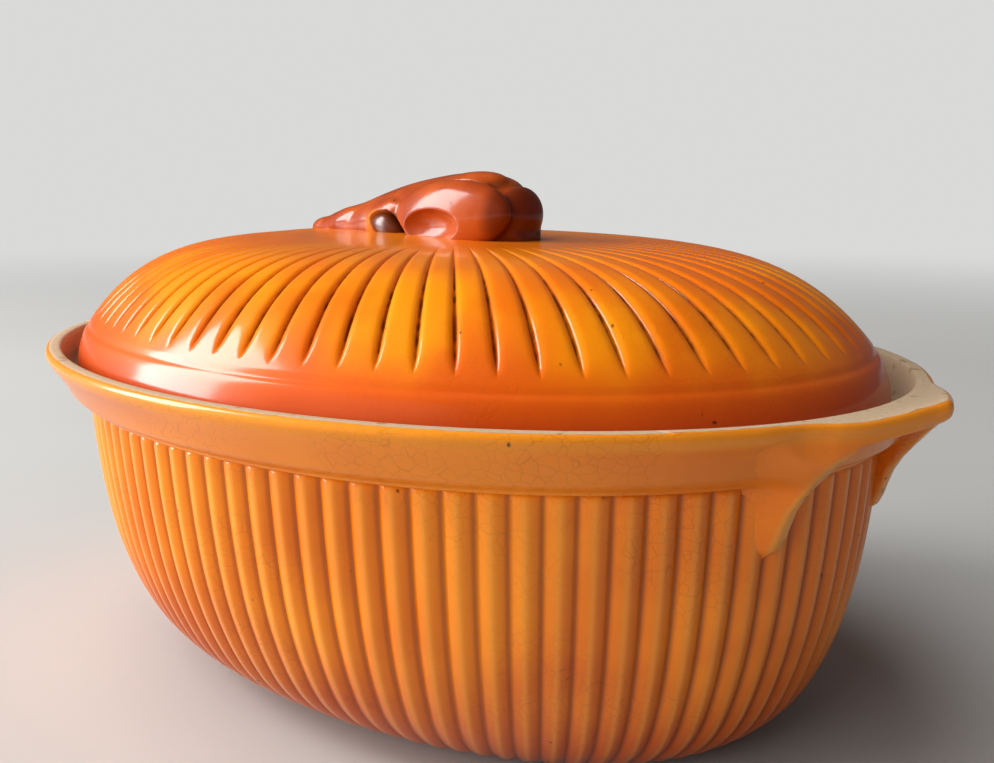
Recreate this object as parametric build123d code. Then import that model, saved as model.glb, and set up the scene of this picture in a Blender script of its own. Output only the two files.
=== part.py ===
from build123d import *
from bisect import bisect_left
from math import cos, hypot, pi, radians, sin, tan
import os

# An oval terrine dish in glazed earthenware, with a domed lid whose grip is a hare's head.
# Sizes are in millimetres. X is the long axis, Y the short axis, and the base stands on Z = 0.
# The origin is the middle of the base. The near lug points along +X.

# Driving sizes of the dish
RIM_LENGTH = 300.0
RIM_WIDTH = 232.7
RIM_HEIGHT = 103.0
LENGTH_OVER_LUGS = 324.0
BASE_LENGTH = 202.0
BASE_WIDTH = 116.0
WALL_THICKNESS = 6.6
FLOOR_THICKNESS = 8.0
FOOT_BAND = 9.0
FOOT_RECESS = 1.5

# Rim: the flat unglazed top, the gallery that the lid sits in, and the moulded band outside
RIM_TOP_WIDTH = 4.6
GALLERY_DEPTH = 9.0
GALLERY_DRAFT = 3.4
LEDGE_WIDTH = 10.5
BAND_HEIGHT = 16.7
BAND_OVERHANG = 11.6

# Reeds on the dish, and grooves on the lid
REED_COUNT = 96
REED_DEPTH = 1.6
GROOVE_COUNT = 76
GROOVE_DEPTH = 2.0
GROOVE_PHASE = 0.8

# Wall: height over the base, and how far the wall has drawn in there from its top, at the ends
WALL_PROFILE = ((0.0, 37.6), (5.0, 27.0), (14.0, 17.2), (26.0, 10.6), (44.0, 5.2), (66.0, 2.0))
SIDE_DRAW = 1.23

# Cavity: the same for the inner wall
CAVITY_PROFILE = (
    (FLOOR_THICKNESS, 52.0),
    (10.5, 39.0),
    (17.0, 27.0),
    (30.0, 17.2),
    (50.0, 10.6),
    (72.0, 7.4),
)

# Lid: half-lengths and heights over its seat
LID_HALF_LENGTH = 139.2
LID_WIDTH_RATIO = 0.774
LID_SEAT_GAP = 0.2
BORDER_PROFILE = ((0.0, 137.8), (2.4, 139.2), (7.0, 138.2), (12.0, 136.0))
DOME_HALF_LENGTH = 133.9
DOME_START = 15.6
DOME_RISE = 26.3
DOME_FULLNESS = 6
DOME_SHARES = (1.0, 0.985, 0.965, 0.94, 0.91, 0.87, 0.82, 0.76, 0.69, 0.61, 0.53, 0.45)
HOLLOW_HALF_LENGTH = 132.4
HOLLOW_RISE = 35.8
HOLLOW_FULLNESS = 8
HOLLOW_SHARES = (1.0, 0.992, 0.98, 0.96, 0.93, 0.89, 0.84, 0.78, 0.71, 0.64)

# Where each groove of the lid runs: share of the dome's half-length, and share of the full depth
GROOVE_RUN = ((0.985, -0.15), (0.96, 0.62), (0.91, 1.0), (0.82, 0.95), (0.7, 0.7), (0.58, 0.4), (0.48, -0.12))
GROOVE_FLANK = 50.0
GROOVE_CLEARANCE = 0.6

# Smooth pad on top of the lid, which the grip is luted to
PAD_CENTRE_X = -18.0
PAD_HALF_SIZE = (62.0, 36.0, 3.2)
PAD_RISE = 1.4

# Lug: a pointed shelf on two webs
LUG_TIP_RISE = 3.0
LUG_SHELF = 5.2
LUG_WEB = 3.2
LUG_NOSE_HALF_WIDTH = 3.0
LUG_NOSE_ROUND = 1.6
LUG_BACK = 100.0
FINGER_HALF_WIDTH = 24.0
# Height, then the outline's points: where it leaves the wall, the web's free edge, and the point
LUG_OUTLINES = (
    (64.0, (130.0, 27.0), (132.0, 20.0), 136.0),
    (76.0, (129.5, 36.0), (136.2, 24.6), 142.0),
    (88.0, (127.0, 46.0), (143.4, 27.0), 151.0),
    (98.0, (126.5, 58.0), (151.5, 26.0), 158.4),
    (108.0, (126.5, 61.6), (151.2, 26.6), 161.2),
)
# Free edge of the webs, seen from the side, from the foot on the wall out to the point
WEB_EDGE = ((131.0, 66.0), (134.9, 73.0), (137.4, 80.0), (143.0, 88.0), (149.8, 95.0), (156.5, 98.9))

# Grip: a hare's head with its nose to -X. Place along X, half-width and height over the lid's top
HEAD_SECTIONS = (
    (-69.0, 3.4, 0.6),
    (-65.0, 5.4, 2.8),
    (-60.0, 6.8, 5.0),
    (-51.0, 8.2, 8.0),
    (-40.0, 9.8, 10.4),
    (-27.0, 11.0, 14.0),
    (-10.0, 11.4, 18.0),
    (9.0, 11.6, 20.3),
    (20.0, 11.4, 17.4),
    (28.0, 10.4, 14.8),
    (33.5, 6.6, 7.5),
)
HEAD_SINK = 6.0
HEAD_TRIM = 4.0
EAR_CENTRE = (8.0, 9.6, 7.6)
EAR_HALF_SIZE = (25.0, 6.0, 10.6)
EAR_TURN = 6.0
HOLLOW_CENTRE = (0.5, 16.2, 4.6)
HOLLOW_HALF_SIZE = (13.5, 4.6, 4.8)
SOCKET_CENTRE = (-21.5, 12.4, 3.4)
SOCKET_HALF_SIZE = (8.6, 3.4, 3.9)
EYE_CENTRE = (-22.5, 9.6, 3.2)
EYE_HALF_SIZE = (6.0, 3.6, 3.3)

# Sizes that follow from the ones above
RIM_HALF_LENGTH = RIM_LENGTH / 2
RIM_HALF_WIDTH = RIM_WIDTH / 2
WALL_TOP_LENGTH = RIM_HALF_LENGTH - BAND_OVERHANG
WALL_TOP_WIDTH = RIM_HALF_WIDTH - BAND_OVERHANG
LEDGE_HEIGHT = RIM_HEIGHT - GALLERY_DEPTH
SEAT_HEIGHT = LEDGE_HEIGHT + LID_SEAT_GAP
LID_TOP = SEAT_HEIGHT + DOME_START + DOME_RISE


def oval(half_length, half_width, height):
    """Level oval face."""
    return Pos(0, 0, height) * Ellipse(half_length, half_width)


def wall_oval(inset):
    """Half-sizes of the wall where it has drawn in by inset at the ends."""
    return WALL_TOP_LENGTH - inset, WALL_TOP_WIDTH - SIDE_DRAW * inset


def even_angles(half_length, half_width, count, phase):
    """Oval angles that split the outline into equal lengths, so that every reed is as wide."""
    steps = 3600
    lengths = [0.0]
    for step in range(steps):
        middle = 2 * pi * (step + 0.5) / steps
        lengths.append(lengths[-1] + hypot(half_length * sin(middle), half_width * cos(middle)))
    angles = []
    for index in range(count):
        target = lengths[-1] * (index + phase) / count
        step = min(bisect_left(lengths, target), steps)
        angles.append(2 * pi * step / steps)
    return angles


def inset_point(half_length, half_width, angle, inset, height):
    """Point on an oval, moved inwards square to the outline."""
    slope_x = half_width * cos(angle)
    slope_y = half_length * sin(angle)
    size = hypot(slope_x, slope_y)
    x = half_length * cos(angle) - inset * slope_x / size
    y = half_width * sin(angle) - inset * slope_y / size
    return x, y, height


def reeded_face(half_length, half_width, height, angles):
    """Level face whose outline is one convex arc for each reed, with a sharp groove between reeds."""
    depth = REED_DEPTH * half_length / WALL_TOP_LENGTH
    grooves = angles[0::2]
    crests = angles[1::2]
    arcs = []
    for index, crest in enumerate(crests):
        start = inset_point(half_length, half_width, grooves[index], depth, height)
        middle = inset_point(half_length, half_width, crest, 0, height)
        end = inset_point(half_length, half_width, grooves[(index + 1) % len(grooves)], depth, height)
        arcs.append(ThreePointArc(start, middle, end))
    return Face(Wire(arcs))


def reeded_wall():
    """The bowl's outer body up to the ledge, before it is hollowed."""
    angles = even_angles(WALL_TOP_LENGTH, WALL_TOP_WIDTH, 2 * REED_COUNT, 1.0)
    faces = [reeded_face(*wall_oval(inset), height, angles) for height, inset in WALL_PROFILE]
    faces.append(reeded_face(*wall_oval(0), LEDGE_HEIGHT - 1, angles))
    return loft(faces)


def rim_band():
    """The moulded band: a rolled top edge, a face that slopes in, and a bead above the reeds."""
    edge = RIM_HALF_LENGTH
    top = RIM_HEIGHT
    foot = (edge - BAND_OVERHANG - REED_DEPTH, top - BAND_HEIGHT - 0.6)
    inner = edge - RIM_TOP_WIDTH - GALLERY_DRAFT - LEDGE_WIDTH - 4
    roll = ThreePointArc((edge - 1.4, 0, top), (edge - 0.3, 0, top - 0.7), (edge, 0, top - 2.0))
    slope = Spline(
        roll @ 1,
        (edge - 0.8, 0, top - 4.4),
        (edge - 3.2, 0, top - 8.2),
        (edge - 5.6, 0, top - 11.0),
        (edge - 7.0, 0, top - 13.2),
        (edge - 9.2, 0, top - 15.4),
        (foot[0], 0, foot[1]),
    )
    back = Polyline(slope @ 1, (inner, 0, foot[1]), (inner, 0, top), roll @ 0)
    profile = Face(Wire([*roll.edges(), *slope.edges(), *back.edges()]))
    path = Edge.make_ellipse(RIM_HALF_LENGTH, RIM_HALF_WIDTH)
    return sweep(profile, path=path)


def cavity():
    """The space inside the dish: the bowl up to the ledge, and the gallery above it."""
    faces = []
    for height, inset in CAVITY_PROFILE:
        half_length, half_width = wall_oval(inset - WALL_THICKNESS)
        faces.append(oval(half_length - WALL_THICKNESS, half_width - WALL_THICKNESS, height))
    ledge = RIM_TOP_WIDTH + GALLERY_DRAFT + LEDGE_WIDTH
    faces.append(oval(RIM_HALF_LENGTH - ledge, RIM_HALF_WIDTH - ledge, LEDGE_HEIGHT + 0.5))
    foot = RIM_TOP_WIDTH + GALLERY_DRAFT
    gallery_faces = [
        oval(RIM_HALF_LENGTH - foot, RIM_HALF_WIDTH - foot, LEDGE_HEIGHT),
        oval(RIM_HALF_LENGTH - RIM_TOP_WIDTH, RIM_HALF_WIDTH - RIM_TOP_WIDTH, RIM_HEIGHT),
        oval(RIM_HALF_LENGTH - RIM_TOP_WIDTH, RIM_HALF_WIDTH - RIM_TOP_WIDTH, RIM_HEIGHT + 5),
    ]
    return loft(faces) + loft(gallery_faces, ruled=True)


def foot_recess():
    """Shallow recess that leaves a band of the base to stand on."""
    half_length = BASE_LENGTH / 2 - FOOT_BAND
    half_width = BASE_WIDTH / 2 - FOOT_BAND
    return extrude(oval(half_length, half_width, -1), FOOT_RECESS + 1)


def dish_outside():
    """The bowl and its rim as a block, before it is hollowed."""
    return reeded_wall() + rim_band()


def lug_outline(height, leaving, web, point, inset):
    """Level face inside the lug's pointed outline, reaching back into the wall."""
    leave_x, leave_y = leaving
    web_x, web_y = web
    nose_x = point - inset
    side = Spline(
        (leave_x, -leave_y + inset, height),
        (web_x - inset / 2, -web_y + inset, height),
        (nose_x, -LUG_NOSE_HALF_WIDTH, height),
    )
    other = side.mirror(Plane.XZ)
    tip = ThreePointArc(side @ 1, (nose_x + LUG_NOSE_ROUND, 0, height), other @ 1)
    ends = Polyline(
        other @ 0,
        (LUG_BACK, leave_y - inset, height),
        (LUG_BACK, -leave_y + inset, height),
        side @ 0,
    )
    return Face(Wire([*side.edges(), *tip.edges(), *other.edges(), *ends.edges()]))


def lug_body(inset):
    """Body whose level sections are the lug's outlines, drawn in by inset."""
    return loft([lug_outline(*outline, inset) for outline in LUG_OUTLINES])


def lug_side():
    """Side view of the lug: turned-up shelf on top, the webs' free edge below."""
    half = LENGTH_OVER_LUGS / 2
    top = RIM_HEIGHT
    edge = Spline(*[(x, 0, z) for x, z in WEB_EDGE])
    under = Line(edge @ 1, (half, 0, top - 1.6))
    nose = Line(under @ 1, (half, 0, top + LUG_TIP_RISE))
    shelf = Spline(nose @ 1, (half - 4, 0, top + LUG_TIP_RISE - 1.4), (half - 12, 0, top))
    back = Polyline(shelf @ 1, (LUG_BACK, 0, top), (LUG_BACK, 0, WEB_EDGE[0][1]), edge @ 0)
    return Face(Wire([*edge.edges(), *under.edges(), *nose.edges(), *shelf.edges(), *back.edges()]))


def finger_recess():
    """Space between the webs, under the shelf, where the fingers go."""
    back_ceiling = RIM_HEIGHT - LUG_SHELF - 2
    side = Polyline(
        (LUG_BACK, 0, 40),
        (LUG_BACK, 0, back_ceiling),
        (WALL_TOP_LENGTH - 2, 0, back_ceiling),
        (LENGTH_OVER_LUGS / 2 - 5, 0, RIM_HEIGHT - 3.4),
        (LENGTH_OVER_LUGS / 2 + 13, 0, RIM_HEIGHT - 3),
        (LENGTH_OVER_LUGS / 2 + 13, 0, 40),
        close=True,
    )
    space = extrude(Face(Wire(side.edges())), FINGER_HALF_WIDTH, both=True, dir=(0, 1, 0))
    return space & lug_body(LUG_WEB)


def right_lug_form():
    """The lug at the near end, still running on into the wall."""
    body = extrude(lug_side(), 80, both=True, dir=(0, 1, 0)) & lug_body(0)
    return body - finger_recess()


def lid_oval(half_length, rise):
    """Level oval of the lid at a height over its seat."""
    return oval(half_length, half_length * LID_WIDTH_RATIO, SEAT_HEIGHT + rise)


def dome_rise(share):
    """Height of the dome over the seat, at a share of its half-length from the middle."""
    return DOME_START + DOME_RISE * (1 - share**DOME_FULLNESS)


def lid_body():
    """The lid as a block: a border that leans in, then the dome."""
    faces = [lid_oval(reach, rise) for rise, reach in BORDER_PROFILE]
    faces += [lid_oval(share * DOME_HALF_LENGTH, dome_rise(share)) for share in DOME_SHARES]
    return loft(faces)


def lid_hollow():
    """The space under the lid."""
    faces = [lid_oval(HOLLOW_HALF_LENGTH + 0.2, -2)]
    for share in HOLLOW_SHARES:
        faces.append(lid_oval(share * HOLLOW_HALF_LENGTH, HOLLOW_RISE * (1 - share**HOLLOW_FULLNESS)))
    return loft(faces)


def grip_pad():
    """Low smooth swelling under the grip."""
    return Pos(PAD_CENTRE_X, 0, LID_TOP + PAD_RISE - PAD_HALF_SIZE[2]) * scale(Sphere(1), by=PAD_HALF_SIZE)


def groove_cutter(angle):
    """Canoe-shaped cutter that runs up the dome and fades out at both ends."""
    spread = tan(radians(GROOVE_FLANK))
    size = hypot(cos(angle), LID_WIDTH_RATIO * sin(angle))
    side_x = -LID_WIDTH_RATIO * sin(angle) / size
    side_y = cos(angle) / size
    faces = []
    for share, fraction in GROOVE_RUN:
        x = share * DOME_HALF_LENGTH * cos(angle)
        y = share * DOME_HALF_LENGTH * LID_WIDTH_RATIO * sin(angle)
        surface = SEAT_HEIGHT + dome_rise(share)
        low = surface - GROOVE_DEPTH * fraction
        high = surface + GROOVE_CLEARANCE
        half = (high - low) * spread
        bottom = (x, y, low)
        one_side = (x + half * side_x, y + half * side_y, high)
        other_side = (x - half * side_x, y - half * side_y, high)
        faces.append(Face(Wire(Polyline(bottom, one_side, other_side, close=True).edges())))
    return loft(faces, ruled=True)


def lid_grooves():
    """All the grooves, evenly spaced round the border."""
    angles = even_angles(LID_HALF_LENGTH, LID_HALF_LENGTH * LID_WIDTH_RATIO, GROOVE_COUNT, GROOVE_PHASE)
    return [groove_cutter(angle) for angle in angles]


def ellipsoid(centre, half_size):
    """Ellipsoid given from the lid's top."""
    x, y, z = centre
    return Pos(x, y, LID_TOP + z) * scale(Sphere(1), by=half_size)


def head_body():
    """The skull, the snout and the neck, as upright rounded sections along the lid."""
    faces = []
    for x, half_width, rise in HEAD_SECTIONS:
        plane = Plane(origin=(x, 0, LID_TOP - HEAD_SINK), x_dir=(0, 1, 0), z_dir=(1, 0, 0))
        faces.append(plane * Ellipse(half_width, rise + HEAD_SINK))
    return loft(faces)


def ear():
    """One ear, laid back along the head on the +Y side."""
    return Pos(0, 0, LID_TOP) * Pos(*EAR_CENTRE) * Rot(0, -EAR_TURN, 0) * scale(Sphere(1), by=EAR_HALF_SIZE)


def both_sides(shape):
    """The shape and its mirror image on the other side of the head."""
    return [shape, shape.mirror(Plane.XZ)]


def hare_head():
    """The hare's head, still running on down into the lid."""
    head = head_body() + both_sides(ear())
    head = head - both_sides(ellipsoid(HOLLOW_CENTRE, HOLLOW_HALF_SIZE))
    head = head - both_sides(ellipsoid(SOCKET_CENTRE, SOCKET_HALF_SIZE))
    return head + both_sides(ellipsoid(EYE_CENTRE, EYE_HALF_SIZE))


def under_lid():
    """Box that takes away what of the head would hang inside the lid."""
    return Pos(0, 0, LID_TOP - HEAD_TRIM) * Box(400, 400, 80, align=(Align.CENTER, Align.CENTER, Align.MAX))


def save(shape, node):
    """Write one node and print what it holds."""
    export_step(shape, f"parts/{node}.step")
    print(node, round(shape.volume / 1000, 1), "cm3", len(shape.solids()), "solids")


os.makedirs("parts", exist_ok=True)
outside = dish_outside()
inside = cavity()
right_lug = right_lug_form() - outside - inside
save(outside - inside - foot_recess(), "dish")
save(right_lug, "right_lug")
save(right_lug.rotate(Axis.Z, 180), "left_lug")
block = lid_body()
save(block - lid_grooves() - lid_hollow() + grip_pad(), "lid")
save(hare_head() - block - grip_pad() - under_lid(), "hare_head_grip")
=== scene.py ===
from math import cos, pi, radians, sin

import bpy
import numpy as np
from mathutils import Matrix, Vector


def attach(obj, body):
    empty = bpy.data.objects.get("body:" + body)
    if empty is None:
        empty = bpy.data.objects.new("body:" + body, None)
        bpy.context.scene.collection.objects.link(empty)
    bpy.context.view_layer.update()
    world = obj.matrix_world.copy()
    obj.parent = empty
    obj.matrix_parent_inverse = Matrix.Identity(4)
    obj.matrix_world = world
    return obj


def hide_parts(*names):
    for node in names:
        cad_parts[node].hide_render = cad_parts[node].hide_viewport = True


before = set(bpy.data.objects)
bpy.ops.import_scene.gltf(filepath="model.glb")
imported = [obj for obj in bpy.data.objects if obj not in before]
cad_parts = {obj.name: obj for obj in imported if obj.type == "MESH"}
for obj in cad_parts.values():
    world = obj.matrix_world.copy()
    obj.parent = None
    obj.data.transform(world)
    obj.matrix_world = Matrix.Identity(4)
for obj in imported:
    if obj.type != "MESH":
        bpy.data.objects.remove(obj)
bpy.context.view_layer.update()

# The dish. One body of buff earthenware pressed in a mould: the bowl with its reeds, the moulded band under
# the rim, and the ledge inside that carries the lid. It is dipped in amber glaze, and the top of the rim, the
# ledge and the foot are wiped back to bare clay.
# Half-sizes in millimetres along X and Y, of the rim's edge and of the top of the wall
RIM = (150.0, 116.35)
RIM_HEIGHT = 103.0
WALL_TOP = (138.4, 104.75)
WALL_THICKNESS = 6.6
# Where the wall's ends draw in by one, its sides draw in by this much
SIDE_DRAW = 1.23
REEDS = 96
REED_DEPTH = 1.9
# Power of the reeds' round, the share of a reed's width over which its crest is lightened as thin glaze and
# painted highlight, and by how much
REED_ROUND = 1.8
CREST_WIDTH = 0.35
CREST_THIN_AND_LIT = 0.5
# Places across one reed, from groove to groove, closer together beside the grooves
REED_PLACES = (0.0, 0.07, 0.2, 0.35, 0.5, 0.65, 0.8, 0.93)
# Wall line from the foot up: how far it has drawn in at the ends, and its height
WALL_LINE = ((37.6, 0.0), (27.0, 5.0), (17.2, 14.0), (10.6, 26.0), (5.2, 44.0), (2.0, 66.0), (0.0, 93.0))
# Band line from the reeds up: distance in from the rim's edge, and distance below its top
BAND_LINE = (
    (10.9, 16.5), (10.5, 15.8), (9.6, 15.1), (8.4, 14.5), (7.2, 13.7), (6.3, 12.6), (5.6, 11.2), (4.7, 9.6),
    (3.6, 7.8), (2.4, 6.0), (1.2, 4.5), (0.4, 3.2), (0.0, 2.1), (0.1, 1.2), (0.6, 0.45), (1.4, 0.1),
    (2.3, 0.0),
)
# From there over the bare top and down to the ledge, measured the same way
TOP_LINE = ((3.2, 0.05), (3.9, 0.08), (4.3, 0.2), (4.6, 0.5))
LEDGE_LINE = (
    (5.2, 2.0), (5.9, 4.0), (6.7, 6.2), (7.5, 8.0), (8.1, 8.8), (9.2, 9.1), (11.0, 9.1), (14.0, 9.1),
    (17.0, 9.2), (18.1, 9.5), (18.7, 10.3),
)
# Foot from the recess outwards: distance in from the wall's foot, height, and share of the reeds' depth
FOOT_RINGS = ((10.0, 1.5, 0.0), (9.3, 1.3, 0.0), (8.8, 0.4, 0.0), (8.2, 0.0, 0.0), (4.0, 0.0, 0.0),
              (1.2, 0.0, 0.4))
# Round heads of the reeds: height, share of the reeds' depth, and how far they have sunk in
REED_HEADS = ((84.2, 1.0, 0.0), (85.1, 0.97, 0.08), (85.8, 0.85, 0.35), (86.3, 0.6, 0.9), (86.5, 0.3, 1.6))
# How far the wall has drawn in at the heads
HEAD_DRAW = 0.6
# The wall starts this far over the foot, which wears the reeds off below
WALL_LIFT = 0.15
# The wiped top of the band starts this far in from its edge, and less than this below its top
WIPED_INSET = 0.6
WIPED_DROP = 0.5
# Inside line from the ledge down: how far the wall has drawn in, and its height
BOWL_LINE = ((7.2, 86.0), (7.4, 72.0), (10.6, 50.0), (17.2, 30.0), (27.0, 17.0), (39.0, 10.5), (52.0, 8.0))


def smooth_line(points, steps):
    """Smooth curve through the points, with so many steps between each two."""
    points = np.array(points, float)
    ends = np.vstack([2 * points[0] - points[1], points, 2 * points[-1] - points[-2]])
    line = []
    for before, start, end, after in zip(ends, ends[1:], ends[2:], ends[3:]):
        for share in np.arange(steps) / steps:
            line.append(0.5 * (2 * start + (end - before) * share
                               + (2 * before - 5 * start + 4 * end - after) * share**2
                               + (3 * start - before - 3 * end + after) * share**3))
    line.append(points[-1])
    return np.array(line)


def even_angles(sizes, shares):
    """Oval angles at shares of the whole outline's length, so that every reed is as wide."""
    steps = np.linspace(0, 2 * pi, 7201)
    middles = (steps[1:] + steps[:-1]) / 2
    lengths = np.hypot(sizes[0] * np.sin(middles), sizes[1] * np.cos(middles))
    along = np.concatenate([[0], np.cumsum(lengths)])
    whole = np.floor(shares)
    return np.interp((shares - whole) * along[-1], along, steps) + 2 * pi * whole


def level_ring(sizes, height, angles, sunk=0.0):
    """Points of a level oval, each sunk inwards square to the outline."""
    across = np.stack([sizes[1] * np.cos(angles), sizes[0] * np.sin(angles)], -1)
    across /= np.linalg.norm(across, axis=1, keepdims=True)
    ring = np.empty((len(angles), 3))
    ring[:, 0] = sizes[0] * np.cos(angles) - sunk * across[:, 0]
    ring[:, 1] = sizes[1] * np.sin(angles) - sunk * across[:, 1]
    ring[:, 2] = height
    return ring


def drawn_out(name, rings):
    """A circle, drawn out by one extrusion for each further ring, its points set to the rings."""
    bpy.ops.object.select_all(action="DESELECT")
    bpy.ops.mesh.primitive_circle_add(vertices=len(rings[0]), radius=1)
    piece = bpy.context.object
    piece.name = name
    bpy.ops.object.mode_set(mode="EDIT")
    bpy.ops.mesh.select_all(action="SELECT")
    for _ in rings[1:]:
        bpy.ops.mesh.extrude_edges_move(TRANSFORM_OT_translate={"value": (0, 0, 1)})
    bpy.ops.object.mode_set(mode="OBJECT")
    piece.data.vertices.foreach_set("co", np.concatenate(rings).astype(np.float32).ravel())
    for low in (0, len(rings) * len(rings[0]) - len(rings[0])):
        close_ring(piece, low, len(rings[0]))
    return piece


def close_ring(piece, first, count):
    """Fill the open end whose points follow the first one."""
    for vertex in piece.data.vertices:
        vertex.select = first <= vertex.index < first + count
    for edge in piece.data.edges:
        edge.select = all(first <= index < first + count for index in edge.vertices)
    bpy.ops.object.mode_set(mode="EDIT")
    bpy.ops.mesh.select_mode(type="EDGE")
    bpy.ops.mesh.edge_face_add()
    bpy.ops.mesh.select_mode(type="VERT")
    bpy.ops.object.mode_set(mode="OBJECT")


def finished(piece):
    """Turn the faces outwards, shade them smoothly and bring millimetres to metres."""
    bpy.ops.object.select_all(action="DESELECT")
    piece.select_set(True)
    bpy.context.view_layer.objects.active = piece
    bpy.ops.object.mode_set(mode="EDIT")
    bpy.ops.mesh.select_all(action="SELECT")
    bpy.ops.mesh.normals_make_consistent(inside=False)
    bpy.ops.object.mode_set(mode="OBJECT")
    bpy.ops.object.shade_smooth()
    piece.data.transform(Matrix.Scale(0.001, 4))
    return piece


def paint(piece, name, values):
    """Keep one value for each point of the mesh, for its material to read."""
    layer = piece.data.attributes.new(name, "FLOAT", "POINT")
    layer.data.foreach_set("value", np.asarray(values, np.float32))


def wall_sizes(drawn):
    """Half-sizes of the wall where it has drawn in at the ends by so much."""
    return WALL_TOP[0] - drawn, WALL_TOP[1] - SIDE_DRAW * drawn


reed_shares = (np.arange(REEDS)[:, None] + np.array(REED_PLACES)).ravel() / REEDS + 0.5 / REEDS
reed_angles = even_angles(WALL_TOP, reed_shares)
from_crest = np.tile(np.abs(2 * np.array(REED_PLACES) - 1), REEDS)
groove = from_crest**REED_ROUND
# the crests are lightened: thinner glaze, and partly a painted highlight
crest_thin_and_lit = np.clip(1 - from_crest / CREST_WIDTH, 0, 1)
plain = np.zeros(len(groove))
dish_rings = []
in_groove = []
thin_glaze_and_highlight = []
bare_clay = []


def add_ring(sizes, height, bare=0.0, reeds=0.0, sunk=0.0):
    """One more ring of the dish, with its reeds pressed to a share of their depth."""
    depth = REED_DEPTH * sizes[0] / WALL_TOP[0]
    dish_rings.append(level_ring(sizes, height, reed_angles, sunk + reeds * depth * groove))
    in_groove.append(reeds * groove)
    thin_glaze_and_highlight.append(reeds * crest_thin_and_lit)
    bare_clay.append(plain + bare)


foot = wall_sizes(WALL_LINE[0][0])
for inset, height, reeds in FOOT_RINGS:
    add_ring((foot[0] - inset, foot[1] - inset), height, 1, reeds)
for drawn, height in smooth_line(WALL_LINE, 5):
    if height < REED_HEADS[0][0]:
        add_ring(wall_sizes(drawn), height + WALL_LIFT, 0, 1)
for height, reeds, sunk in REED_HEADS:
    add_ring(wall_sizes(HEAD_DRAW), height, 0, reeds, sunk)
for inset, drop in smooth_line(BAND_LINE, 2):
    wiped = max(0.0, min(1.0, inset - WIPED_INSET)) * (drop < WIPED_DROP)
    add_ring((RIM[0] - inset, RIM[1] - inset), RIM_HEIGHT - drop, wiped)
for inset, drop in TOP_LINE + LEDGE_LINE:
    add_ring((RIM[0] - inset, RIM[1] - inset), RIM_HEIGHT - drop, 1)
for drawn, height in smooth_line(BOWL_LINE, 3):
    half_width = WALL_TOP[1] - SIDE_DRAW * (drawn - WALL_THICKNESS) - WALL_THICKNESS
    add_ring((WALL_TOP[0] - drawn, half_width), height)

dish = drawn_out("dish_body", dish_rings)
paint(dish, "groove", np.concatenate(in_groove))
paint(dish, "thin", CREST_THIN_AND_LIT * np.concatenate(thin_glaze_and_highlight))
paint(dish, "bare", np.concatenate(bare_clay))
finished(dish)


class Wire:
    """A shader socket that takes part in sums with numbers and with other sockets."""

    def __init__(self, shader, socket):
        self.shader = shader
        self.socket = socket

    def sum(self, operation, first, second):
        return self.shader.add("Math", {"operation": operation}, {0: first, 1: second})

    def __add__(self, other):
        return self.sum("ADD", self, other)

    def __radd__(self, other):
        return self.sum("ADD", other, self)

    def __sub__(self, other):
        return self.sum("SUBTRACT", self, other)

    def __rsub__(self, other):
        return self.sum("SUBTRACT", other, self)

    def __mul__(self, other):
        return self.sum("MULTIPLY", self, other)

    def __rmul__(self, other):
        return self.sum("MULTIPLY", other, self)


class Shader:
    """A material whose nodes are added one at a time."""

    def __init__(self, name):
        self.material = bpy.data.materials.new(name)
        self.material.use_nodes = True
        self.tree = self.material.node_tree
        self.tree.nodes.clear()

    def add(self, kind, settings, sockets, output=0):
        """Add a node: its settings first, then the values or wires of its sockets."""
        node = self.tree.nodes.new("ShaderNode" + kind)
        for name, value in settings.items():
            setattr(node, name, value)
        for place, value in sockets.items():
            if isinstance(value, Wire):
                self.tree.links.new(value.socket, node.inputs[place])
            else:
                node.inputs[place].default_value = value
        return Wire(self, node.outputs[output]) if node.outputs else None

    def ramp(self, value, low, high):
        """0 below low, 1 above high, and a smooth rise between them."""
        return self.add("MapRange", {"interpolation_type": "SMOOTHSTEP"}, {0: value, 1: low, 2: high})

    def mix(self, share, first, second):
        """Colour that turns from the first to the second."""
        return self.add("Mix", {"data_type": "RGBA"}, {0: share, 6: first, 7: second}, 2)

    def mottle(self, place, size, detail=3.0):
        """Noise about 0.5, with patches about so many metres wide."""
        return self.add("TexNoise", {}, {"Vector": place, "Scale": 1 / size, "Detail": detail})

    def place(self):
        """The point of the piece, in metres from the middle of the dish's foot."""
        return self.add("TexCoord", {}, {}, 3)

    def along(self, place, axis):
        """The point's distance along one axis, 0 for X and 2 for the height."""
        return self.add("SeparateXYZ", {}, {0: place}, axis)

    def painted(self, name):
        """A value that the mesh keeps at its points."""
        return self.add("Attribute", {"attribute_name": name}, {}, 2)

    def finish(self, surface):
        """Give the surface to the material, which is then done."""
        self.add("OutputMaterial", {}, {"Surface": surface})
        return self.material


def rgb(red, green, blue):
    """Colour as the eye names it, 0 to 255, for a shader."""
    return tuple((part / 255) ** 2.2 for part in (red, green, blue)) + (1.0,)


CLAY_DARK = rgb(176, 150, 120)
CLAY_LIGHT = rgb(204, 180, 150)
CLAY_STAIN = rgb(120, 86, 52)
BRINK_BROWN = rgb(96, 60, 26)
CRAZE_BROWN = rgb(110, 50, 14)
IRON_BROWN = rgb(60, 24, 10)


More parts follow.
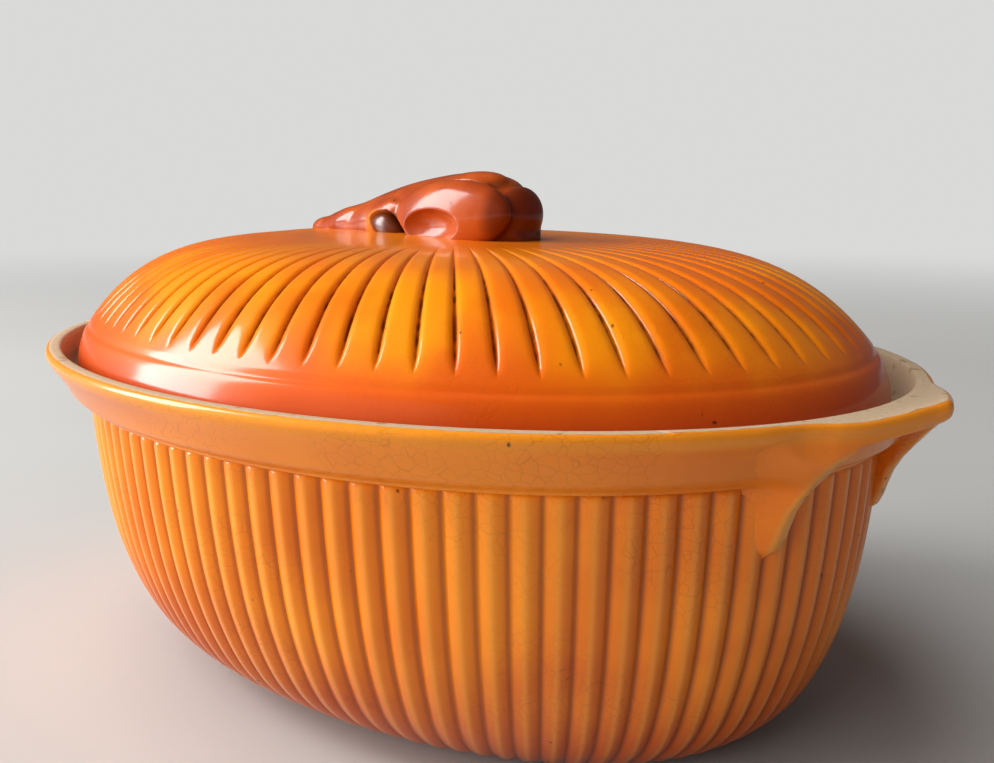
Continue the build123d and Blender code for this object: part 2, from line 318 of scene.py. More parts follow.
def glaze_finish(shader, colour, place, crazing):
    """Glossy glaze over clay: a clear coat, crazed, with bare matt clay where the glaze was wiped off."""
    # craze lines follow the edges of small cells, bent a little
    drift = shader.add("TexNoise", {}, {"Vector": place, "Scale": 90.0, "Detail": 1.0}, 1)
    bent = shader.add("VectorMath", {"operation": "MULTIPLY_ADD"},
                      {0: drift, 1: (0.004, 0.004, 0.004), 2: place})
    cells = shader.add("TexVoronoi", {"feature": "DISTANCE_TO_EDGE"}, {"Vector": bent, "Scale": 300.0})
    craze = (1 - shader.ramp(cells, 0.0, 0.04)) * shader.ramp(shader.mottle(place, 0.035), 0.42, 0.6)
    glazed = shader.mix(craze * crazing, colour, CRAZE_BROWN)
    # iron in the clay burns through in a few specks
    iron = 1 - shader.ramp(shader.add("TexVoronoi", {}, {"Vector": bent, "Scale": 150.0}), 0.05, 0.1)
    iron = iron * shader.ramp(shader.mottle(place, 0.009, 0.0), 0.6, 0.68)
    glazed = shader.mix(iron * 0.8, glazed, IRON_BROWN)
    # bare clay, grained and stained
    grain = shader.mottle(place, 0.0012, 4.0)
    clay = shader.mix(grain, CLAY_DARK, CLAY_LIGHT)
    clay = shader.mix(shader.ramp(shader.mottle(place, 0.006), 0.62, 0.7) * 0.5, clay, CLAY_STAIN)
    # the glaze ends on a wavering, toasted brink
    bare = shader.ramp(shader.painted("bare") + (shader.mottle(place, 0.004) - 0.5) * 0.5, 0.4, 0.6)
    brink = bare * (1 - bare) * 4 * shader.ramp(shader.mottle(place, 0.003), 0.35, 0.6)
    shown = shader.mix(brink * 0.6, shader.mix(bare, glazed, clay), BRINK_BROWN)
    waves = shader.add("Bump", {}, {"Strength": 0.5, "Distance": 0.0006,
                                    "Height": shader.mottle(place, 0.02, 1.0)})
    ruts = shader.mottle(place, 0.003, 2.0) * 0.5
    skin = shader.add("Bump", {}, {"Strength": 0.35, "Distance": 0.00012,
                                   "Height": ruts - craze * 0.6 - iron + bare * grain, "Normal": waves})
    return shader.finish(shader.add("BsdfPrincipled", {}, {
        "Base Color": shown, "Roughness": 0.42 + bare * 0.4, "IOR": 1.5, "Specular IOR Level": 0.12,
        "Coat Weight": 0.6 - bare * 0.6, "Coat Roughness": 0.14, "Coat IOR": 1.5, "Normal": skin,
    }))


def dish_glaze():
    """Amber glaze: orange over the reeds, brown in the grooves, redder towards the foot, and lighter on the
    crests and the lugs' web edges, partly thin glaze and partly painted highlight.
    """
    shader = Shader("dish_glaze")
    place = shader.place()
    height = shader.along(place, 2)
    cloud = shader.mottle(place, 0.05)
    low = 1 - shader.ramp(height + (cloud - 0.5) * 0.03, 0.012, 0.055)
    colour = shader.mix(shader.ramp(cloud, 0.35, 0.65), rgb(228, 114, 12), rgb(246, 138, 20))
    colour = shader.mix(low * 0.85, colour, rgb(184, 72, 26))
    band = shader.ramp(height, 0.0862, 0.0885) * (1 - shader.ramp(height, 0.094, 0.1))
    colour = shader.mix(band * 0.4, colour, rgb(218, 122, 44))
    roll = shader.ramp(height, 0.0975, 0.1)
    colour = shader.mix(roll * 0.75, colour, rgb(232, 140, 38))
    pooled = shader.ramp(shader.painted("groove"), 0.45, 1.0)
    colour = shader.mix(pooled * 0.6, colour, rgb(130, 52, 12))
    # lighter crests and web edges: thinner glaze, and partly a painted highlight
    colour = shader.mix(shader.painted("thin") * 0.6, colour, rgb(250, 176, 78))
    return glaze_finish(shader, colour, place, crazing=0.22)


amber = dish_glaze()
dish.data.materials.append(amber)
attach(dish, "dish")
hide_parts("dish")

# The two lugs. Each is a pointed shelf of the same clay on two webs whose feet are luted down over the reeds,
# with room for two fingertips between them. The glaze is wiped off the top, level with the rim.
# Top outline: distance from the middle, and reach along X
LUG_PLAN = (
    (0.0, 161.9), (1.6, 161.6), (4.3, 160.2), (10.3, 158.0), (15.5, 156.0), (22.1, 153.0), (27.2, 149.8),
    (30.4, 146.9), (34.0, 144.0), (38.4, 141.6), (43.0, 139.2),
)
# Free edge of a web: height, and reach along X
WEB_LINE = (
    (60.0, 124.0), (66.0, 128.6), (68.4, 131.6), (70.0, 133.6), (73.0, 135.0), (76.0, 135.9), (80.0, 137.4),
    (84.0, 139.8), (88.0, 143.0), (92.0, 146.4), (95.0, 149.6), (97.5, 153.0), (99.0, 157.0), (100.2, 164.0),
)
# Outer edge of a web on the wall: height, and distance from the middle
FOOT_LINE = (
    (60.0, 26.6), (68.4, 27.4), (69.4, 29.2), (70.6, 30.4), (73.0, 31.2), (77.0, 31.5), (82.0, 31.9),
    (85.0, 33.2), (88.0, 36.4), (92.0, 40.0), (96.0, 42.0), (100.0, 42.0), (104.0, 41.0),
)
# Underside of the shelf: height, and reach along X
SHELF_LINE = ((60.0, -20.0), (94.6, -20.0), (95.6, 146.2), (96.4, 149.0), (97.4, 152.2), (98.6, 155.4),
              (99.8, 158.6))
# Crown of a web, and its inner face: distance from the middle
WEB_MIDDLE = 26.2
WEB_INNER = 23.4
# The web's outer face turns from a rounded foot to a long sweep from this height up, over so much more
SWEEP_START = 76.0
SWEEP_RUN = 8.0
# Depths in millimetres: of the skin past its outer edge beside the reeds and beside the band, of the
# outline in from the roll's edge, and of the clay that the foot keeps in the wall
UNDER_REEDS = 3.2
UNDER_BAND = 0.8
UNDER_ROLL = 0.8
FOOT_DEPTH = 3.6
# Rows over the roll of the edge: distance in, and height
ROLL_ROWS = ((0.75, 100.1), (0.3, 100.6), (0.06, 101.2), (0.0, 101.7), (0.12, 102.2), (0.45, 102.65),
             (0.95, 102.92), (1.6, 103.04))
# Rows over the top: share of the way from the roll to the rim
TOP_ROWS = (0.12, 0.28, 0.46, 0.64, 0.8, 0.92, 1.0)
# Rows down the back, within the rim and then the wall: height, height at which the dish's reach is
# taken, and depth in from it
BACK_ROWS = ((102, 102, 2.6), (99, 99, 2.6), (96, 96, 2.6), (93.2, 96, 2.9), (92, 86, 4.2), (80, 80, 4.2),
             (70, 70, 4.2), (62, 62, 4.2))
# The bare top lies level with the rim, and rises to the tip by so much
LUG_TOP = 103.04
TIP_RISE = 3.0
# The lug's two ends, buried in the wall
LUG_END = 61.0
END_HEIGHT = 84.0


def band_sizes(height):
    """Half-sizes of the dish's outside at a height."""
    if height > REED_HEADS[-1][0]:
        line = np.array(BAND_LINE)[::-1]
        inset = np.interp(RIM_HEIGHT - height, line[:, 1], line[:, 0])
        return RIM[0] - inset, RIM[1] - inset
    line = np.array(WALL_LINE)
    return wall_sizes(np.interp(height, line[:, 1], line[:, 0]))


def dish_reach(aside, height):
    """How far along X the dish's outside lies, at a distance from the middle."""
    half_length, half_width = band_sizes(height)
    return half_length * np.sqrt(1 - (aside / half_width) ** 2)


def lesser(first, second, blend):
    """The smaller of two, rounded over where they cross."""
    near = np.maximum(blend - np.abs(first - second), 0) / blend
    return np.minimum(first, second) - near**2 * blend / 4


def greater(first, second, blend):
    """The larger of two, rounded where they cross."""
    return -lesser(-np.asarray(first), -np.asarray(second), blend)


plan_curve = smooth_line(LUG_PLAN, 6)


def plan_reach(aside):
    """Reach of the lug's top outline."""
    reach = np.interp(aside, plan_curve[:, 0], plan_curve[:, 1])
    rim_reach = RIM[0] * np.sqrt(1 - (aside / RIM[1]) ** 2)
    # beside the lug the skin slips just under the rim
    return np.where(aside > 40, rim_reach - 0.35 * np.clip((aside - 40) / 5, 0, 1), reach)


def lug_front(aside, height):
    """Reach of the lug's outer skin below the roll."""
    web = np.interp(height, *np.array(WEB_LINE).T)
    base = dish_reach(aside, height)
    outer = np.interp(height, *np.array(FOOT_LINE).T)
    # the web's outer face falls away from its crown to the wall
    crown = lesser(plan_reach(np.array(WEB_MIDDLE)) + UNDER_ROLL, web + 1.6, 1.0)
    proud = crown - dish_reach(WEB_MIDDLE, height)
    fall = np.clip((aside - WEB_MIDDLE) / (outer - WEB_MIDDLE), 0, 1)
    sweep = np.clip((height - SWEEP_START) / SWEEP_RUN, 0, 1)
    flank = (1 - sweep) * (1 - fall**2) ** 1.4 + sweep * (1 - fall**2 * (3 - 2 * fall))
    # past its outer edge the skin sinks below the reeds' grooves
    past = np.clip((aside - outer) / 1.5, 0, 1)
    under = np.where(height < 88.6, UNDER_REEDS, UNDER_BAND)
    skin = base + proud * flank - under * past + 0.12 * (1 - fall**2)
    # between the webs nothing holds it back but the shelf's outline and the webs' free edges
    skin = np.where(aside < WEB_MIDDLE, 400.0, skin)
    skin = lesser(skin, plan_reach(aside) - UNDER_ROLL, 1.2)
    skin = lesser(skin, np.full_like(skin, web), 2.0)
    # the finger recess, up to the shelf and across to the webs' steep inner faces
    shelf = np.interp(height, *np.array(SHELF_LINE).T)
    recess = np.maximum(base - under - 0.3, shelf) + np.clip(aside - WEB_INNER, 0, None) * 9
    # where it lies in the wall it stays in the clay, clear of the bowl inside
    return np.maximum(lesser(skin, recess, 1.4), base - FOOT_DEPTH)


# Places across the lug and up it, closer together over the webs and under the shelf
lug_asides = np.concatenate([
    np.arange(0, 20, 1.0), np.arange(20, 23, 0.5), np.arange(23, 29.5, 0.25), np.arange(29.5, 37, 0.5),
    np.arange(37, LUG_END + 1, 1.0),
])
lug_asides = np.concatenate([-lug_asides[:0:-1], lug_asides])
lug_heights = np.concatenate([np.arange(62, 67, 1.0), np.arange(67, 72, 0.4), np.arange(72, 94, 0.8),
                              np.arange(94, 99.8, 0.25)])


def lug_rings():
    """Upright rings of the lug, from one side to the other."""
    rings = []
    for side in lug_asides:
        aside = abs(side)
        ring = [(float(lug_front(np.array(aside), height)), side, height) for height in lug_heights]
        reach = float(plan_reach(np.array(aside)))
        # the roll and the top rise towards the tip
        lift = TIP_RISE * max(0.0, (reach - 152.0) / 10.0) ** 1.6
        for inset, height in ROLL_ROWS:
            share = 0.45 + 0.55 * (height - 99.8) / 3.2
            ring.append((reach - inset, side, height + lift * share))
        roll_end = reach - ROLL_ROWS[-1][0]
        rim_end = min(float(dish_reach(aside, RIM_HEIGHT - 0.01)) - 1.2, roll_end - 0.2)
        for share in TOP_ROWS:
            along = roll_end * (1 - share) + rim_end * share
            rise = TIP_RISE * max(0.0, (along - 151.0) / 11.0) ** 1.6
            ring.append((along, side, LUG_TOP + rise * (1 - 0.12 * (share < 0.2))))
        for height, level, depth in BACK_ROWS:
            ring.append((float(dish_reach(aside, level)) - depth, side, height))
        rings.append(np.array(ring))
    # both ends draw in to a small round, buried in the wall
    around = np.linspace(-0.8, 2 * pi - 0.8, len(rings[0]), endpoint=False)
    middle = dish_reach(LUG_END, END_HEIGHT) - 5
    tips = []
    for side in (-LUG_END - 1.5, LUG_END + 1.5):
        across = np.full(len(around), side)
        tips.append(np.stack([middle + np.cos(around), across, END_HEIGHT + np.sin(around)], -1))
    return [tips[0], *rings, tips[1]]


def make_lug(name, turned):
    """One lug, at the right or turned round to the left."""
    rings = lug_rings()
    # the glaze thins out over the webs' free edges, which are also lightened as a painted highlight
    edges = np.zeros((len(rings), len(rings[0])))
    for place, side in enumerate(lug_asides):
        gap = np.interp(lug_heights, *np.array(WEB_LINE).T) - rings[place + 1][:len(lug_heights), 0]
        on_web = (abs(side) > WEB_INNER - 0.6) & (lug_heights > 68.5) & (lug_heights < 99)
        edges[place + 1, :len(lug_heights)] = on_web * np.clip(1 - gap / 1.5, 0, 1)
    lug = drawn_out(name, rings)
    count = len(rings[0])
    rows = np.tile(np.arange(count), len(rings))
    top = len(lug_heights) + len(ROLL_ROWS)
    bare = np.clip((rows - top + 3) / 3, 0, 1) * (rows < top + len(TOP_ROWS) + 1)
    # the free edges show some bare clay and a lighter tone: thin glaze, and partly a painted highlight
    paint(lug, "bare", np.maximum(bare, 0.4 * edges.ravel()))
    paint(lug, "thin", edges.ravel())
    paint(lug, "groove", bare * 0)
    if turned:
        lug.data.transform(Matrix.Rotation(pi, 4, "Z"))
    return finished(lug)


for name, node, turned in (("lug_right", "right_lug", False), ("lug_left", "left_lug", True)):
    lug = make_lug(name, turned)
    lug.data.materials.append(amber)
    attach(lug, "dish")
    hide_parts(node)

# The lid. A domed oval of the same clay that sits loose on the ledge. Grooves are pressed into it from the
# border up to a smooth pad. Its glaze is yellow-orange on the dome, and red-brown where it gathers at the
# border.
SEAT = 94.2
LID_RATIO = 0.774
# The dome over the border: its reach, where it starts over the seat, and its rise
DOME_REACH = 133.9
DOME_START = 15.6
DOME_RISE = 26.3
LID_TOP = SEAT + DOME_START + DOME_RISE
GROOVES = 76
GROOVE_DEPTH = 1.9
# The first groove lies this share of a lobe away from the X axis
GROOVE_PHASE = 0.8
# Places across one lobe, from groove to groove, closer together beside the grooves
GROOVE_PLACES = (0.0, 0.03, 0.08, 0.16, 0.27, 0.4, 0.5, 0.6, 0.73, 0.84, 0.92, 0.97)
# Border line from the seat up: reach, and height
BORDER_LINE = ((136.8, 94.2), (138.2, 94.5), (139.0, 95.6), (139.2, 97.0), (138.9, 99.2), (138.3, 101.6),
               (137.5, 103.8), (136.7, 105.7), (136.1, 106.9), (135.4, 107.8), (134.6, 108.4), (134.1, 109.1))
BORDER_REACH = 139.2
# Groove along the dome: share of the reach, and share of the depth
GROOVE_LINE = ((0.0, 0.0), (0.42, 0.0), (0.5, 0.16), (0.6, 0.45), (0.72, 0.75), (0.84, 0.96), (0.91, 1.0),
               (0.95, 0.82), (0.968, 0.5), (0.978, 0.2), (0.986, 0.0), (1.0, 0.0))
# Dome rings from the border up: share of the reach
DOME_SHARES = (
    0.998, 0.994, 0.99, 0.986, 0.982, 0.978, 0.974, 0.97, 0.966, 0.96, 0.953, 0.945, 0.935, 0.92, 0.9,
    0.88, 0.86, 0.84, 0.81, 0.78, 0.75, 0.72, 0.69, 0.66, 0.62, 0.58, 0.54, 0.5, 0.46, 0.42, 0.37, 0.3,
    0.2, 0.07,
)
# The pad under the grip: its middle along X, half-sizes, how far it starts below the top, and its rise
PAD_MIDDLE = -22
PAD_SIZES = (57, 34)
PAD_SUNK = 2.2
PAD_RISE = 3.2
# The hollow underneath: its reach and rise, its rings as reaches from the middle out, and the seat's
# inner rings as distance out and height over the seat
HOLLOW_REACH = 132.4
HOLLOW_RISE = 35.8
HOLLOW_REACHES = (60.0, 90.0, 110.0, 120.0, 0.94 * HOLLOW_REACH, 0.965 * HOLLOW_REACH, 0.98 * HOLLOW_REACH,
                  0.992 * HOLLOW_REACH)
SEAT_RINGS = ((0.0, 1.2), (0.6, 0.2), (1.4, 0.0))
# Bare clay on the seat: rings before and after the first ring of the border
SEAT_BARE = (3, 2)

lid_sizes = (BORDER_REACH, BORDER_REACH * LID_RATIO)
groove_shares = (np.arange(GROOVES)[:, None] + np.array(GROOVE_PLACES)).ravel() / GROOVES
lid_angles = even_angles(lid_sizes, groove_shares + GROOVE_PHASE / GROOVES)
lobe_edge = np.tile(np.abs(2 * np.array(GROOVE_PLACES) - 1), GROOVES)


def pad_height(x, y):
    """Height of the smooth pad under the grip."""
    inside = 1 - ((x - PAD_MIDDLE) / PAD_SIZES[0]) ** 2 - (y / PAD_SIZES[1]) ** 2
    return np.where(inside > 0, LID_TOP - PAD_SUNK + PAD_RISE * np.sqrt(np.clip(inside, 0, None)), 0)


def dome_ring(share):
    """Ring of the dome with the grooves pressed in, and how deep each point lies in a groove."""
    ring = level_ring((DOME_REACH * share, DOME_REACH * share * LID_RATIO), 0, lid_angles)
    depth = np.interp(share, *np.array(GROOVE_LINE).T)
    # where a groove runs out it is also narrower
    sharp = 6.2 + 5 * (1 - depth)
    pressed = depth * lobe_edge**sharp
    height = SEAT + DOME_START + DOME_RISE * (1 - share**6)
    ring[:, 2] = greater(height, pad_height(ring[:, 0], ring[:, 1]), 1.2)
    # the groove is pressed in square to the dome
    slope = 6 * DOME_RISE * share**5 / DOME_REACH
    square = np.array([slope, 0, 1]) / np.hypot(slope, 1)
    outwards = level_ring((1, 1), 0, lid_angles)
    sink = GROOVE_DEPTH * pressed
    ring[:, :2] -= outwards[:, :2] * (square[0] * sink)[:, None]
    ring[:, 2] -= square[2] * sink
    return ring, pressed


lid_rings = []
for reach in HOLLOW_REACHES:
    height = SEAT + HOLLOW_RISE * (1 - (reach / HOLLOW_REACH) ** 8)
    lid_rings.append(level_ring((reach, reach * LID_RATIO), height, lid_angles))
for outset, lift in SEAT_RINGS:
    sizes = (HOLLOW_REACH + outset, HOLLOW_REACH * LID_RATIO + outset)
    lid_rings.append(level_ring(sizes, SEAT + lift, lid_angles))
border_start = len(lid_rings)
for reach, height in smooth_line(BORDER_LINE, 2):
    lid_rings.append(level_ring((reach, reach * LID_RATIO), height, lid_angles))
lid_groove = [np.zeros(len(lid_angles)) for _ in lid_rings]
lid_bare = [np.full(len(lid_angles), float(-SEAT_BARE[0] <= place - border_start <= SEAT_BARE[1]))
            for place in range(len(lid_rings))]
for share in DOME_SHARES:
    ring, pressed = dome_ring(share)
    lid_rings.append(ring)
    lid_groove.append(pressed)
    lid_bare.append(np.zeros(len(lid_angles)))

lid = drawn_out("lid_dome", lid_rings)
paint(lid, "groove", np.concatenate(lid_groove))
paint(lid, "bare", np.concatenate(lid_bare))
finished(lid)


def lid_glaze():
    """Amber glaze that runs yellow-orange on the dome and gathers red-brown at the border."""
    shader = Shader("lid_glaze")
    place = shader.place()
    height = shader.along(place, 2)
    cloud = shader.mottle(place, 0.03)
    wave = (cloud - 0.5) * 0.014
    colour = shader.mix(shader.ramp(cloud, 0.35, 0.65), rgb(234, 112, 2), rgb(248, 140, 6))
    low = 1 - shader.ramp(height + wave, 0.105, 0.122)
    colour = shader.mix(low, colour, rgb(216, 86, 14))
    rim_red = 1 - shader.ramp(height + wave * 0.4, 0.1, 0.108)
    colour = shader.mix(rim_red * 0.6, colour, rgb(184, 60, 12))
    top = shader.ramp(height + wave * 0.5, 0.131, 0.1375)
    colour = shader.mix(top * 0.45, colour, rgb(212, 104, 30))
    # it pools in the grooves, in streaks
    streak = shader.ramp(shader.mottle(place, 0.004, 4.0), 0.4, 0.62)
    pooled = shader.ramp(shader.painted("groove"), 0.18, 0.75)
    colour = shader.mix(pooled * (0.5 + streak * 0.45), colour, rgb(104, 38, 8))
    return glaze_finish(shader, colour, place, crazing=0.08)


lid.data.materials.append(lid_glaze())
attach(lid, "lid")
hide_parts("lid")

# The grip. A hare's head, pressed in its own small mould and luted to the pad with slip. The ears are laid
# back along the neck, both open to the side, and the glaze runs red-brown over it.
# Head sections from nose to neck: place along X, half-width, height over the lid's top
HEAD_LINE = (
    (-70.0, 2.6, -1.0), (-66.0, 5.0, 2.0), (-60.0, 7.0, 4.6), (-51.0, 8.2, 7.6), (-40.0, 9.4, 10.0),
    (-30.0, 10.6, 13.0), (-18.0, 11.2, 16.2), (-6.0, 11.4, 18.4), (6.0, 11.4, 19.8), (14.0, 11.2, 19.2),
    (20.0, 10.8, 17.0), (26.0, 9.4, 15.0), (30.5, 7.0, 11.6), (33.2, 4.0, 3.0),
)
# The head reaches down into the pad to this height
HEAD_FLOOR = LID_TOP - 4.0
HEAD_POINTS = 48
# Lumps of clay: centre from the lid's top, half-sizes, and turns about Y and Z in degrees. The near ear
# comes first, then the far one, which lies closer, the ridge of fur, and the neck behind it.
LUMPS = (
    ((8, -9.2, 6.6), (25, 6.3, 11.2), -5, 0),
    ((-1, 9.2, 6.6), (19, 6.0, 10.4), -5, 0),
    ((10, -2.5, 15.6), (14.5, 6.6, 4.5), -7, 4),
    ((19, 1.5, 14.4), (9, 6.5, 4.6), 12, 0),
    ((28.2, 0, 7.6), (5.8, 8.6, 8.4), 0, 0),
)
# Lumps on both sides: the brows, the cheeks and the muzzle
PAIRED_LUMPS = (
    ((-20, 8.4, 6.0), (11, 4.4, 5.6), -14),
    ((-44, 4.4, 3.6), (14, 4.8, 4.8), -12),
    ((-60, 3.2, 1.0), (7, 3.6, 3.4), -8),
)
# Cut out with ellipsoids given the same way: the hollow of each ear, and a parting beside the ridge of fur
EAR_HOLLOW = ((3.2, 17.4, 3.4), (14.6, 6.0, 6.0), -4)
FUR_PARTING = ((16, -8.4, 15.8), (12, 0.7, 2.6), 14, 6)
# The eyes: place, half-sizes, tilt in degrees, and the sockets that hold them, which run back under the ears
EYE_PLACE = (-21.0, 9.4, 2.6)
EYE_SIZES = (7.2, 3.3, 4.6)
EYE_TILT = 14
EYE_PINCH = 0.35
SOCKET_PLACE = (-18.6, 13.2, 2.2)
SOCKET_SIZES = (11.0, 5.4, 5.8)
SOCKET_PINCH = 0.4
# Grain of the skin that joins the lumps, and of the one over the carved head
VOXEL = 0.55
FINE_VOXEL = 0.44


def ball(centre, half_sizes, tilt=0, swing=0, pinch=0.0):
    """An ellipsoid turned about its own centre, its ends along X pinched to corners."""
    bpy.ops.object.select_all(action="DESELECT")
    bpy.ops.mesh.primitive_uv_sphere_add(segments=48, ring_count=24, radius=1)
    form = bpy.context.object
    for vertex in form.data.vertices:
        vertex.co.z *= 1 - pinch * abs(vertex.co.x) ** 1.5
    x, y, z = centre
    placed = Matrix.Translation((x, y, LID_TOP + z))
    turned = Matrix.Rotation(radians(swing), 4, "Z") @ Matrix.Rotation(radians(tilt), 4, "Y")
    form.data.transform(placed @ turned @ Matrix.Diagonal((*half_sizes, 1)))
    return form


def mirrored_pair(centre, half_sizes, tilt, pinch=0.0):
    """The same ellipsoid on both sides of the head."""
    x, y, z = centre
    return [ball((x, side * y, z), half_sizes, tilt, 0, pinch) for side in (1, -1)]


def apply_modifier(piece, kind, settings):
    """Put a modifier on the piece and apply it."""
    bpy.ops.object.select_all(action="DESELECT")
    piece.select_set(True)
    bpy.context.view_layer.objects.active = piece
    modifier = piece.modifiers.new(kind.title(), kind)
    for name, value in settings.items():
        setattr(modifier, name, value)
    bpy.ops.object.modifier_apply(modifier=modifier.name)


def merged(forms, name):
    """Join overlapping forms to one skin."""
    bpy.ops.object.select_all(action="DESELECT")
    for form in forms:
        form.select_set(True)
    bpy.context.view_layer.objects.active = forms[0]
    bpy.ops.object.join()
    whole = bpy.context.object
    whole.name = name
    apply_modifier(whole, "REMESH", {"mode": "VOXEL", "voxel_size": VOXEL})
    return whole


def carve(piece, cutters):
    """Cut forms out of the piece and drop them."""
    for cutter in cutters:
        apply_modifier(piece, "BOOLEAN", {"operation": "DIFFERENCE", "object": cutter, "solver": "EXACT"})
        bpy.data.objects.remove(cutter)


def head_form():
    """The skull, the snout and the neck as one drawn-out form."""
    angles = np.linspace(0, 2 * pi, HEAD_POINTS, endpoint=False)
    lift = np.sign(np.sin(angles)) * np.abs(np.sin(angles)) ** 0.9
    spread = np.sign(np.cos(angles)) * np.abs(np.cos(angles)) ** 0.8
    # narrower towards the top
    spread = spread * np.where(lift > 0, 1 - 0.25 * lift**2, 1)
    rings = []
    for x, half_width, rise in smooth_line(HEAD_LINE, 3):
        half_height = (LID_TOP + rise - HEAD_FLOOR) / 2
        middle = (LID_TOP + rise + HEAD_FLOOR) / 2
        along = np.full(HEAD_POINTS, x)
        rings.append(np.stack([along, half_width * spread, middle + half_height * lift], -1))
    return drawn_out("head", rings)


forms = [head_form()]
forms += [ball(*lump) for lump in LUMPS]
for lump in PAIRED_LUMPS:
    forms += mirrored_pair(*lump)
grip = merged(forms, "hare_head")
apply_modifier(grip, "SMOOTH", {"iterations": 5, "factor": 0.5})
carve(grip, mirrored_pair(*EAR_HOLLOW))
carve(grip, mirrored_pair(SOCKET_PLACE, SOCKET_SIZES, EYE_TILT, SOCKET_PINCH))
carve(grip, [ball(*FUR_PARTING)])
apply_modifier(grip, "REMESH", {"mode": "VOXEL", "voxel_size": FINE_VOXEL})
apply_modifier(grip, "SMOOTH", {"iterations": 2, "factor": 0.5})
paint(grip, "bare", np.zeros(len(grip.data.vertices)))
# how far each point lies from the eye on its side, where 1 is the eye's own skin
skin_points = np.array([vertex.co for vertex in grip.data.vertices])
skin_points[:, 1] = np.abs(skin_points[:, 1])
from_eye = skin_points - EYE_PLACE - (0, 0, LID_TOP)
eye_distance = np.linalg.norm(from_eye / EYE_SIZES, axis=1)
# a golden line over the front half of each eyelid, partly a painted highlight
paint(grip, "eyelid_thin_and_lit", np.clip(1.6 - np.abs(eye_distance - 1.2) / 0.2, 0, 1) * (from_eye[:, 0] < 1))
# painted shadow in the socket behind each eye, where it runs back under the ear
paint(grip, "socket", np.clip((1.75 - eye_distance) / 0.3, 0, 1) * (from_eye[:, 0] > 2))
finished(grip)


def grip_glaze():
    """Red-brown glaze, golden on the front of the eyelids as partly a painted highlight, with painted shade
    in the eye sockets and at the back of the neck.
    """
    shader = Shader("grip_glaze")
    place = shader.place()
    cloud = shader.mottle(place, 0.012)
    colour = shader.mix(shader.ramp(cloud, 0.35, 0.65), rgb(152, 60, 18), rgb(176, 78, 26))
    # thin and golden along the front of the eyelids, partly a painted highlight on their lit side, and
    # painted shadow in the sockets behind the eyes
    colour = shader.mix(shader.painted("eyelid_thin_and_lit") * 0.75, colour, rgb(206, 126, 40))
    colour = shader.mix(shader.painted("socket") * 0.8, colour, rgb(70, 26, 10))
    # painted shade: the back of the neck, which lies in shadow behind the ears, is darker brown
    neck_shade = shader.ramp(shader.along(place, 0) + (cloud - 0.5) * 0.006, 0.0235, 0.029)
    colour = shader.mix(neck_shade * 0.85, colour, rgb(96, 34, 8))
    return glaze_finish(shader, colour, place, crazing=0.06)


grip.data.materials.append(grip_glaze())
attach(grip, "lid")
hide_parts("hare_head_grip")

# The eyes. Two beads of clay pinched to an almond, pressed into the sockets of the grip, and touched in with
# a thick dark brown glaze.


def eye_glaze(name):
    """Dark brown glaze, a little clouded."""
    shader = Shader(name)
    colour = shader.mix(shader.mottle(shader.place(), 0.004), rgb(70, 22, 8), rgb(112, 54, 18))
    return shader.finish(shader.add("BsdfPrincipled", {}, {
        "Base Color": colour, "Roughness": 0.3, "Coat Weight": 0.2, "Coat Roughness": 0.1,
    }))


for name, side in (("eye_right", -1), ("eye_left", 1)):
    x, y, z = EYE_PLACE
    eye = ball((x, side * y, z), EYE_SIZES, EYE_TILT, 0, EYE_PINCH)
    eye.name = name
    finished(eye)
    eye.data.materials.append(eye_glaze(name + "_glaze"))
    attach(eye, "lid")

# The studio floor, one plain sheet of pale paper. Far off, what the camera sees of it runs into a backdrop as
# pale as the sky.
BACKDROP = (0.7, 0.7, 0.69, 1)
FLOOR_SIZE = 40
# The paper runs into the backdrop between these distances from the dish, in metres
FADE_START = 0.45
FADE_END = 2.0


def floor_paper():
    """Matt paper that fades into the backdrop for the camera alone."""
    shader = Shader("floor_paper")
    place = shader.place()
    colour = shader.mix(shader.mottle(place, 0.3), rgb(180, 179, 176), rgb(188, 187, 184))
    paper = shader.add("BsdfPrincipled", {}, {"Base Color": colour, "Roughness": 0.85})
    distance = shader.add("VectorMath", {"operation": "LENGTH"}, {0: place}, 1)
    far_off = shader.ramp(distance, FADE_START, FADE_END) * shader.add("LightPath", {}, {})
    backdrop = shader.add("Emission", {}, {"Color": BACKDROP, "Strength": 1.0})
    return shader.finish(shader.add("MixShader", {}, {0: far_off, 1: paper, 2: backdrop}))


bpy.ops.object.select_all(action="DESELECT")
bpy.ops.mesh.primitive_plane_add(size=FLOOR_SIZE, location=(0, 0, 0))
floor = bpy.context.object
floor.name = "floor"
floor.data.materials.append(floor_paper())

# The light. A window-like lamp stands on the left and gives the glaze its one bright reflection. A broad fill
# from the front and a soft sun above are not mirrored, and a grey sky looks pale to the camera alone.
LIT_POINT = Vector((0, 0, 0.08))


def softbox(name, azimuth, elevation, distance, size, power):
    """A flat lamp that faces the dish. Azimuth 0 is in front, and it grows towards +X."""
    data = bpy.data.lights.new(name, "AREA")
    data.shape = "RECTANGLE"
    data.size, data.size_y = size
    data.energy = power
    lamp = bpy.data.objects.new(name, data)
    bpy.context.scene.collection.objects.link(lamp)
    around, above = radians(azimuth), radians(elevation)
    towards = Vector((sin(around) * cos(above), -cos(around) * cos(above), sin(above)))
    lamp.location = LIT_POINT + distance * towards
    lamp.rotation_euler = (-towards).to_track_quat("-Z", "Y").to_euler()
    return lamp


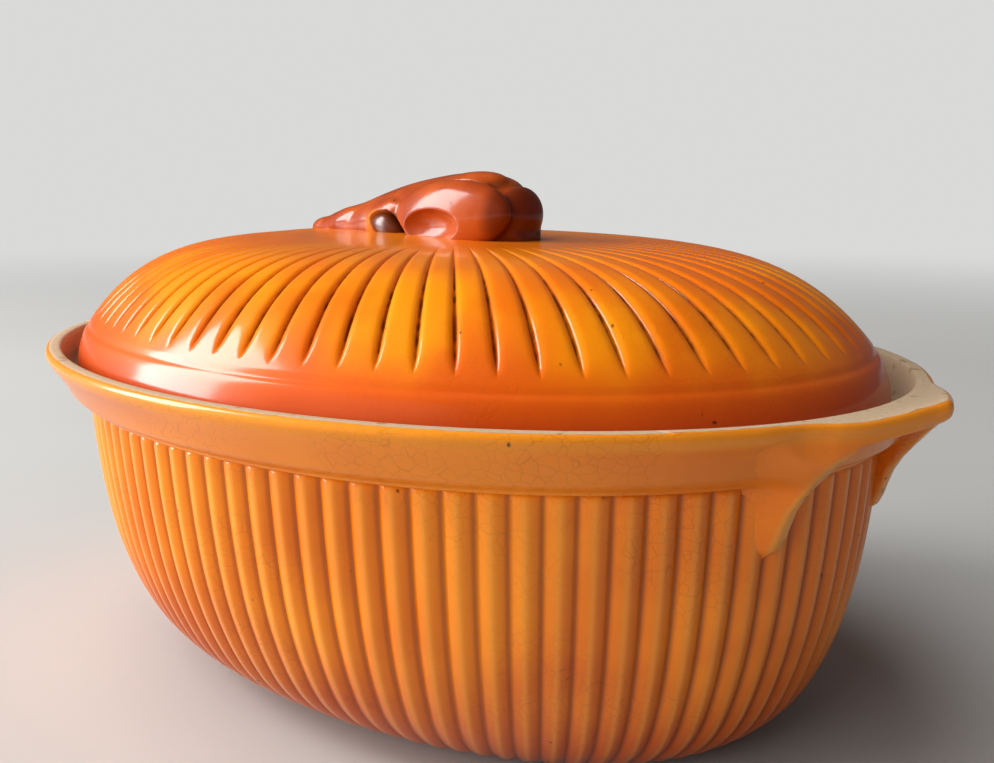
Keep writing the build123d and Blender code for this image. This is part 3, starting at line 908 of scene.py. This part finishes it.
softbox("window", -52, 22, 1.6, (0.7, 1.1), 34)
fill = softbox("fill", -2, 17, 2.4, (1.6, 1.2), 27)
fill.visible_glossy = False
sun_data = bpy.data.lights.new("above", "SUN")
sun_data.energy = 1.7
sun_data.angle = radians(50)
sun = bpy.data.objects.new("above", sun_data)
bpy.context.scene.collection.objects.link(sun)
sun.visible_glossy = False
sun.rotation_euler = Vector((0.3, 0.35, -1)).to_track_quat("-Z", "Y").to_euler()

world = bpy.data.worlds.new("sky")
bpy.context.scene.world = world
world.use_nodes = True
sky = world.node_tree
sky.nodes.clear()
seen = sky.nodes.new("ShaderNodeLightPath")
level = sky.nodes.new("ShaderNodeMix")
level.data_type = "RGBA"
level.inputs[6].default_value = (0.1, 0.1, 0.1, 1)
level.inputs[7].default_value = BACKDROP
glow = sky.nodes.new("ShaderNodeBackground")
sky_out = sky.nodes.new("ShaderNodeOutputWorld")
sky.links.new(seen.outputs["Is Camera Ray"], level.inputs[0])
sky.links.new(level.outputs[2], glow.inputs["Color"])
sky.links.new(glow.outputs[0], sky_out.inputs["Surface"])

bpy.context.scene.view_settings.view_transform = "Standard"

# The camera. It stands where the photograph was taken, low and to the right of the front. Its place and its
# view were fitted to the outlines of the rim, the band and the lid.
FILM_WIDTH = 36
PHOTO_WIDTH = 994
FOCAL_PIXELS = 1149.3
CAMERA_PLACE = Vector((0.2619, -0.2581, 0.1587))
look = Vector((-0.6733, 0.7156, -0.1861)).normalized()
right = Vector((0.7279, 0.6857, 0.003))

camera_data = bpy.data.cameras.new("camera")
camera_data.sensor_width = FILM_WIDTH
camera_data.lens = FILM_WIDTH * FOCAL_PIXELS / PHOTO_WIDTH
camera_data.clip_start = 0.01
camera = bpy.data.objects.new("camera", camera_data)
bpy.context.scene.collection.objects.link(camera)
right = (right - look * right.dot(look)).normalized()
up = right.cross(look)
camera.matrix_world = Matrix.Translation(CAMERA_PLACE) @ Matrix((right, up, -look)).transposed().to_4x4()
bpy.context.scene.camera = camera
